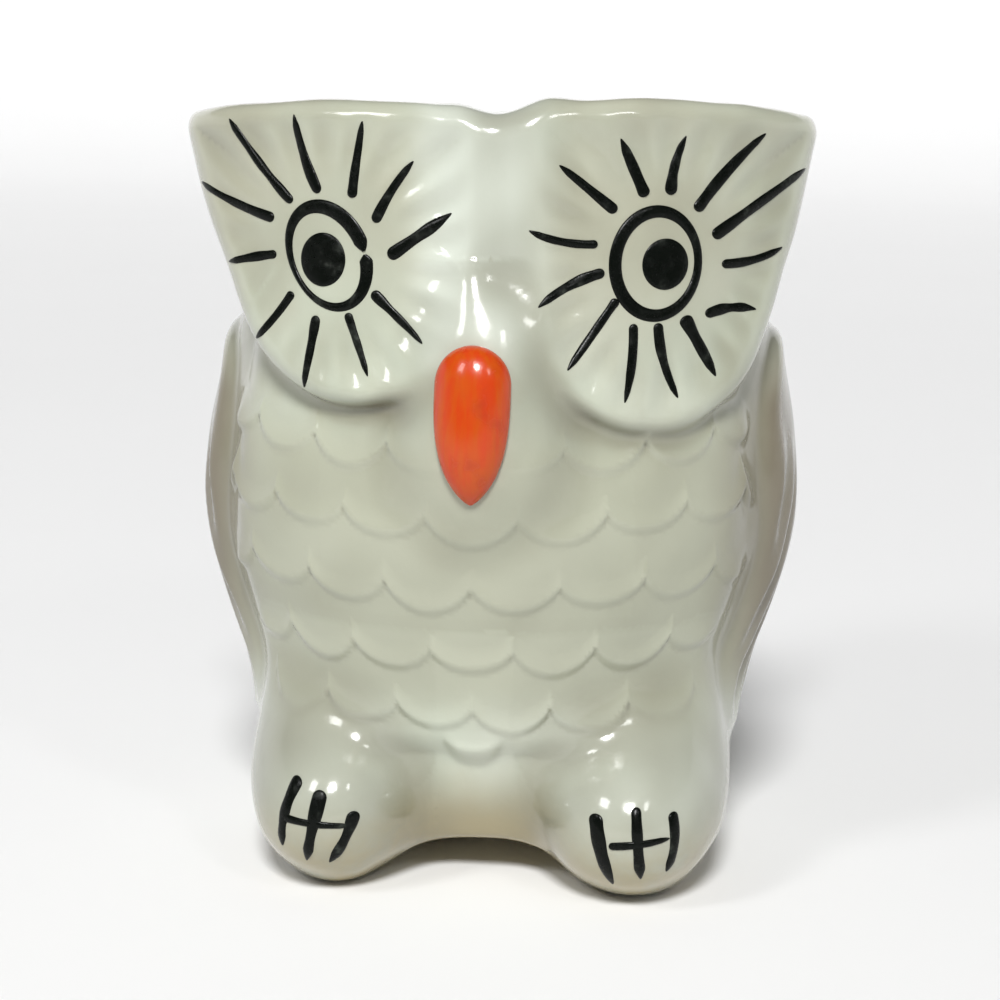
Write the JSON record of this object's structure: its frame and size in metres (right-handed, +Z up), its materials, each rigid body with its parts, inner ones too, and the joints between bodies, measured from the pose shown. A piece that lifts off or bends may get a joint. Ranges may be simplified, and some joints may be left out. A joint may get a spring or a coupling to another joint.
{
  "type": "owl figurine",
  "caption": "Glazed ceramic owl standing on its base and two round feet, with painted eyes, lashes and claws, an orange beak and scalloped breast feathers.",
  "frame": {"origin": "on the table, under the middle of the figurine's box", "axes": "+Z up, -Y towards the owl's front, +X towards the owl's own left"},
  "size_m": [0.0752, 0.0786, 0.09],
  "materials": {
    "white_glaze": "gloss",
    "orange_enamel": "gloss",
    "black_enamel": "gloss"
  },
  "bodies": {
    "root": {"body_casting": "white_glaze", "left_facial_disc": "white_glaze", "right_facial_disc": "white_glaze", "brow_ridge": "white_glaze", "beak_mound": "white_glaze", "left_wing": "white_glaze", "right_wing": "white_glaze", "left_foot": "white_glaze", "right_foot": "white_glaze", "tail": "white_glaze", "breast_feather_row_1": "white_glaze", "breast_feather_row_2": "white_glaze", "breast_feather_row_3": "white_glaze", "breast_feather_row_4": "white_glaze", "breast_feather_row_5": "white_glaze", "breast_feather_row_6": "white_glaze", "beak": "orange_enamel", "left_eye_ring": "black_enamel", "right_eye_ring": "black_enamel", "left_pupil": "black_enamel", "right_pupil": "black_enamel", "left_lashes": "black_enamel", "right_lashes": "black_enamel", "left_claw_marks": "black_enamel", "right_claw_marks": "black_enamel"}
  },
  "joints": []
}
